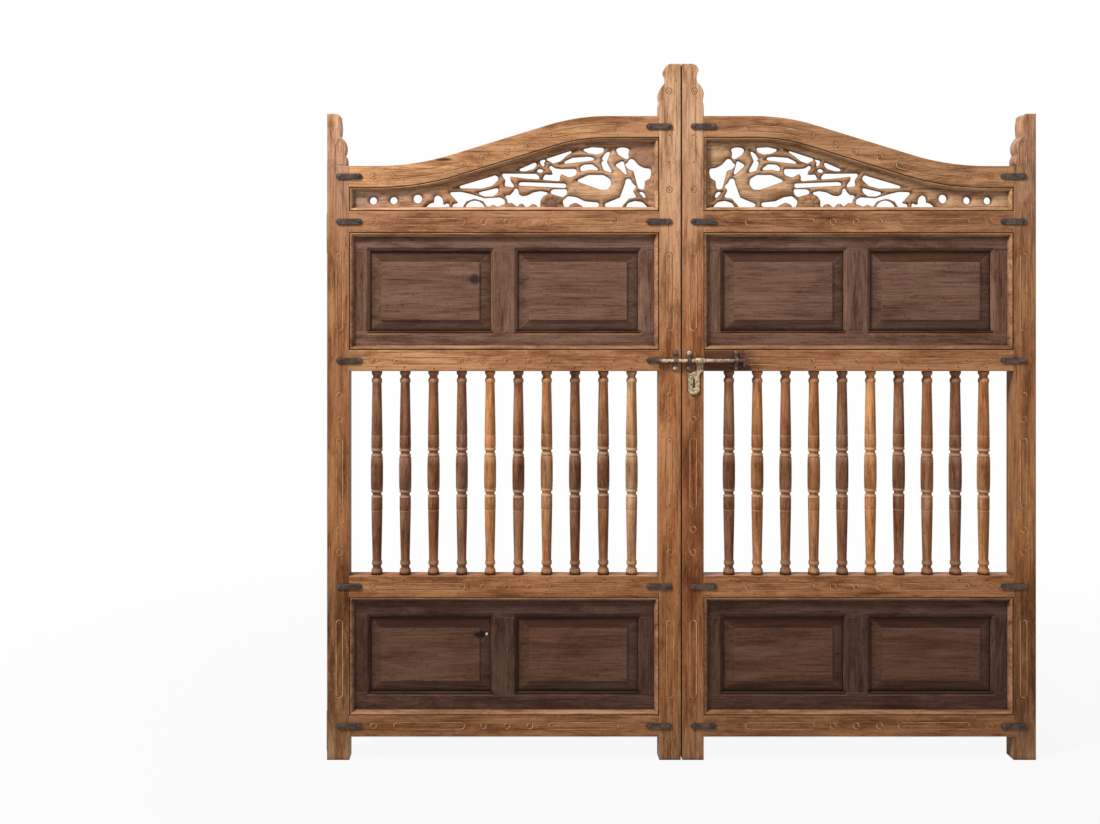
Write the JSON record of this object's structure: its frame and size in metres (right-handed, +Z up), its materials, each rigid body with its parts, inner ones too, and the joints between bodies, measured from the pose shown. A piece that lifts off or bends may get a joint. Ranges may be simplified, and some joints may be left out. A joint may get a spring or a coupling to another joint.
{
  "type": "wood and iron gate",
  "caption": "Double garden gate with stile-and-rail leaves, turned balusters, raised panels, a pierced carved frieze, iron straps, a sliding bolt with hasp and pintle hinges.",
  "frame": {"origin": "on the ground under the middle of the gap between the leaves, midway in the depth of the whole gate", "axes": "+Z up, +X to the viewer's right along the closed gate, +Y from the front with the bolt to the back, where the leaves open"},
  "size_m": [1.93, 0.1114, 1.88],
  "materials": {
    "teak": "oiled, weathered",
    "turned_teak": "oiled, weathered",
    "carved_teak": "carved, dusty",
    "dark_teak": "darkened, dry",
    "iron": "forged, dark",
    "old_metal": "pale, corroded"
  },
  "bodies": {
    "post_side": {"post_hinge_plates": "iron", "hinge_pins": "iron"},
    "left_leaf": {"left_hinge_stile": "teak", "left_meeting_stile": "teak", "left_bottom_rail": "teak", "left_spindle_rail": "teak", "left_lock_rail": "teak", "left_frieze_rail": "teak", "left_top_rail": "teak", "left_carved_frieze": "carved_teak", "left_beads": "teak", "left_lower_panel_rails": "dark_teak", "left_lower_panel_stiles": "dark_teak", "left_lower_panels": "dark_teak", "left_upper_panel_rails": "dark_teak", "left_upper_panel_stiles": "dark_teak", "left_upper_panels": "dark_teak", "left_baluster_01": "turned_teak", "left_baluster_02": "turned_teak", "left_baluster_03": "turned_teak", "left_baluster_04": "turned_teak", "left_baluster_05": "turned_teak", "left_baluster_06": "turned_teak", "left_baluster_07": "turned_teak", "left_baluster_08": "turned_teak", "left_baluster_09": "turned_teak", "left_baluster_10": "turned_teak", "left_iron_straps": "iron", "left_leaf_hinge_plates": "iron", "left_bolt_keeper": "old_metal"},
    "right_leaf": {"right_hinge_stile": "teak", "right_meeting_stile": "teak", "right_bottom_rail": "teak", "right_spindle_rail": "teak", "right_lock_rail": "teak", "right_frieze_rail": "teak", "right_top_rail": "teak", "right_carved_frieze": "carved_teak", "right_beads": "teak", "right_lower_panel_rails": "dark_teak", "right_lower_panel_stiles": "dark_teak", "right_lower_panels": "dark_teak", "right_upper_panel_rails": "dark_teak", "right_upper_panel_stiles": "dark_teak", "right_upper_panels": "dark_teak", "right_baluster_01": "turned_teak", "right_baluster_02": "turned_teak", "right_baluster_03": "turned_teak", "right_baluster_04": "turned_teak", "right_baluster_05": "turned_teak", "right_baluster_06": "turned_teak", "right_baluster_07": "turned_teak", "right_baluster_08": "turned_teak", "right_baluster_09": "turned_teak", "right_baluster_10": "turned_teak", "right_iron_straps": "iron", "right_leaf_hinge_plates": "iron", "right_bolt_keepers": "old_metal"},
    "bolt": {"bolt_rod": "old_metal"},
    "hasp": {"hasp": "old_metal"}
  },
  "joints": [
    {"name": "left_leaf_hinge", "type": "hinge", "parent": "post_side", "child": "left_leaf", "pos_m": [-0.945, 0.01469, 0], "axis": [0, 0, 1], "range_deg": [0, 100]},
    {"name": "right_leaf_hinge", "type": "hinge", "parent": "post_side", "child": "right_leaf", "pos_m": [0.945, 0.01469, 0], "axis": [0, 0, -1], "range_deg": [0, 100]},
    {"name": "bolt_slide", "type": "slide", "parent": "right_leaf", "child": "bolt", "axis": [1, 0, 0], "range_m": [0, 0.077]},
    {"name": "hasp_hinge", "type": "hinge", "parent": "bolt", "child": "hasp", "pos_m": [0.049, -0.04786, 1.0785], "axis": [-1, 0, 0], "range_deg": [0, 120]}
  ]
}
